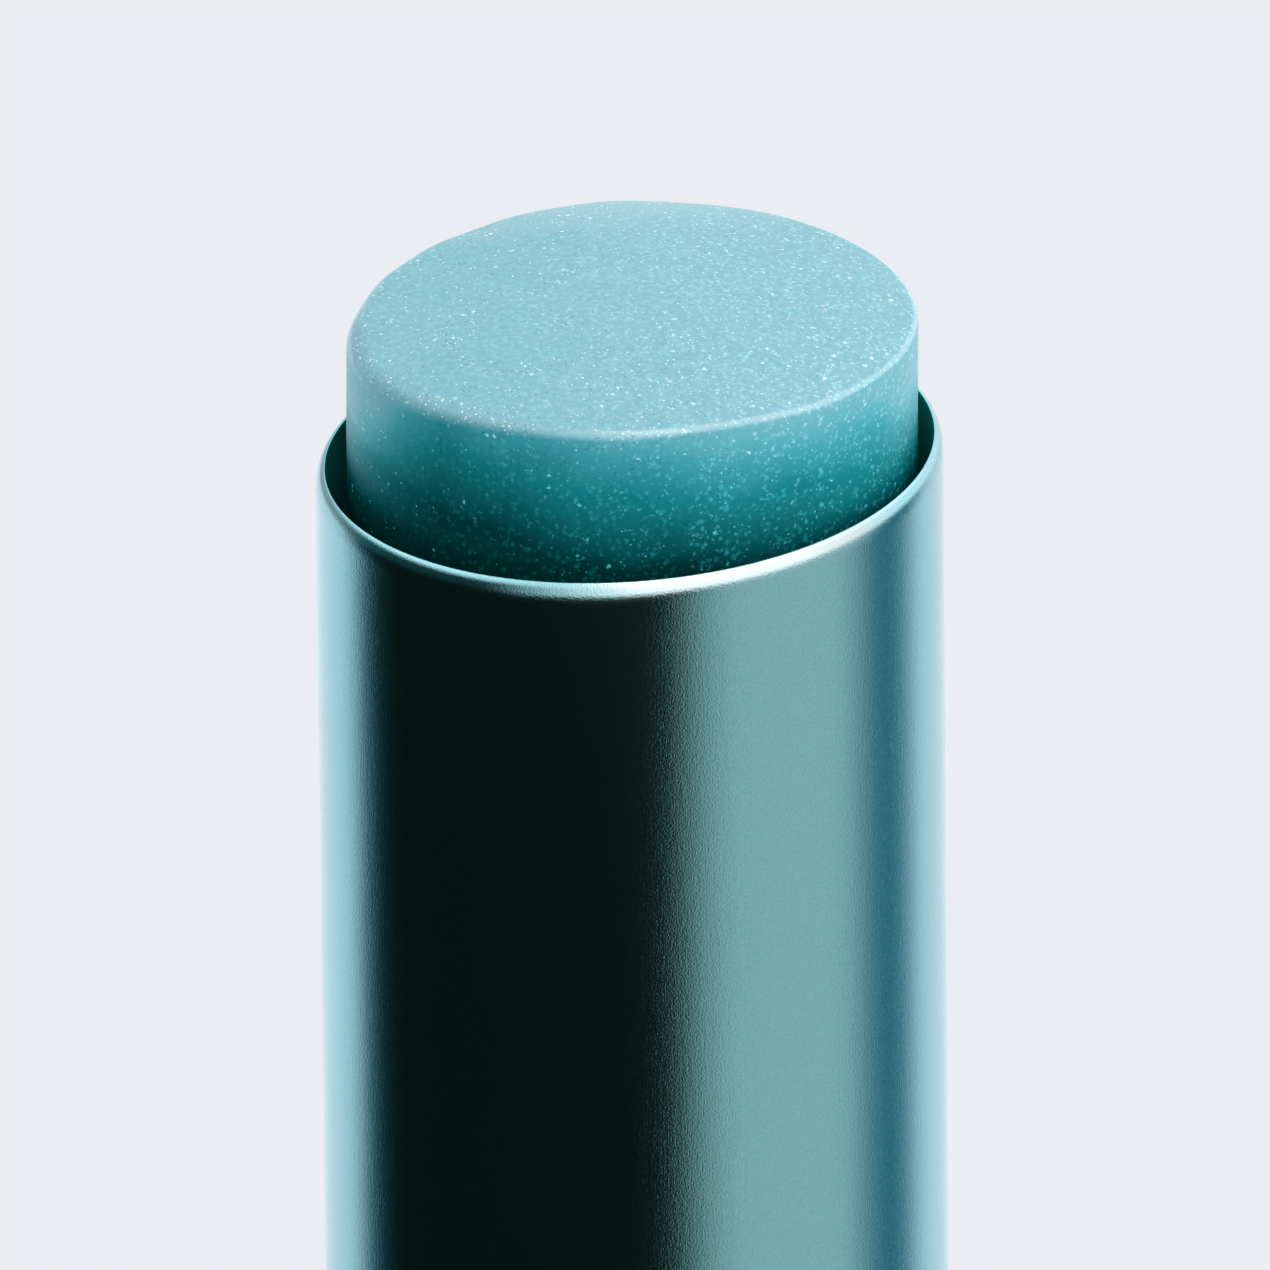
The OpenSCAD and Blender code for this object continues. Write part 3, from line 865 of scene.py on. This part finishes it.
def panel(name, azimuth, elevation, distance, size, watts, colour=(1, 1, 1)):
    """A square soft light that looks at the upper part of the object; sizes are in metres."""
    way = direction(azimuth, elevation)
    data = bpy.data.lights.new(name, "AREA")
    data.shape = "SQUARE"
    data.size = size
    data.energy = watts
    data.color = colour
    lamp = bpy.data.objects.new(name, data)
    bpy.context.scene.collection.objects.link(lamp)
    lamp.location = Vector((0, 0, 0.06)) + way * distance
    lamp.rotation_mode = "QUATERNION"
    lamp.rotation_quaternion = (-way).to_track_quat("-Z", "Y")
    lamp.visible_camera = False
    lamp.visible_glossy = False
    return lamp


panel("overhead", 150, 68, 0.6, 0.5, 1.7)
panel("front_right", 50, 44, 0.5, 0.66, 2.7)
panel("back_left", -118, 22, 0.55, 0.3, 1.1, (0.90, 0.98, 1.06))

# %% [markdown]
# ## The sky
#
# The sky does two jobs that want two levels. What the camera and the mirrors see of it is the plain
# background, while the light that it sheds on the surfaces is only a weak fill.

# %% Set the sky
SKY_FILL = 0.35
world = bpy.data.worlds.new("pale_sky")
bpy.context.scene.world = world
world.use_nodes = True
sky_tree = world.node_tree
fill = sky_tree.nodes["Background"]
feed(fill, {"Color": BACKGROUND, "Strength": SKY_FILL})
plain = add_node(sky_tree, "ShaderNodeBackground", {"Color": BACKGROUND, "Strength": 1.0})
sky = mix_shaders(looked_at(sky_tree), Field(sky_tree, fill.outputs[0]), plain)
feed(sky_tree.nodes["World Output"], {"Surface": sky})
print("sky fill:", SKY_FILL, "of the background's level")

# %% [markdown]
# ## The camera
#
# The sides of the case stay nearly parallel in the picture, so it was taken from far away through a long
# lens. An orthographic camera would keep them exactly parallel. A real lens of 1600 mm was chosen, as it
# comes near that and still narrows the case a little downwards. It looks down at 30 degrees, a little round
# to the left of the oval's flank, and it is rolled by half a degree, because the case leans in the picture.

# %% Set the camera
FRAME_WIDTH, FRAME_PIXELS = 39.62 * MM, 1270
LENS, SENSOR = 1600.0, 36.0
ROLL = math.radians(-0.52)
rim_left_of_middle, rim_above_middle = 5.4, 186.3  # in the picture's pixels

distance = FRAME_WIDTH * LENS / SENSOR
back = direction(0, CAMERA_ELEVATION)
turn = (-back).to_track_quat("-Z", "Y") @ Matrix.Rotation(ROLL, 3, "Z").to_quaternion()
right, up = turn @ Vector((1, 0, 0)), turn @ Vector((0, 1, 0))
rim_centre = Vector((0, 0, rim_z * MM))
target = rim_centre + right * (rim_left_of_middle / FRAME_PIXELS * FRAME_WIDTH)
target -= up * (rim_above_middle / FRAME_PIXELS * FRAME_WIDTH)

camera_data = bpy.data.cameras.new("camera")
camera_data.lens = LENS
camera_data.sensor_width = SENSOR
camera_data.clip_start = 0.1
camera_data.clip_end = 20.0
camera = bpy.data.objects.new("camera", camera_data)
bpy.context.scene.collection.objects.link(camera)
camera.location = target + back * distance
camera.rotation_mode = "QUATERNION"
camera.rotation_quaternion = turn
bpy.context.scene.camera = camera
bpy.context.scene.view_settings.view_transform = "Standard"
print(f"camera {distance:.3f} m away with a {LENS:.0f} mm lens")
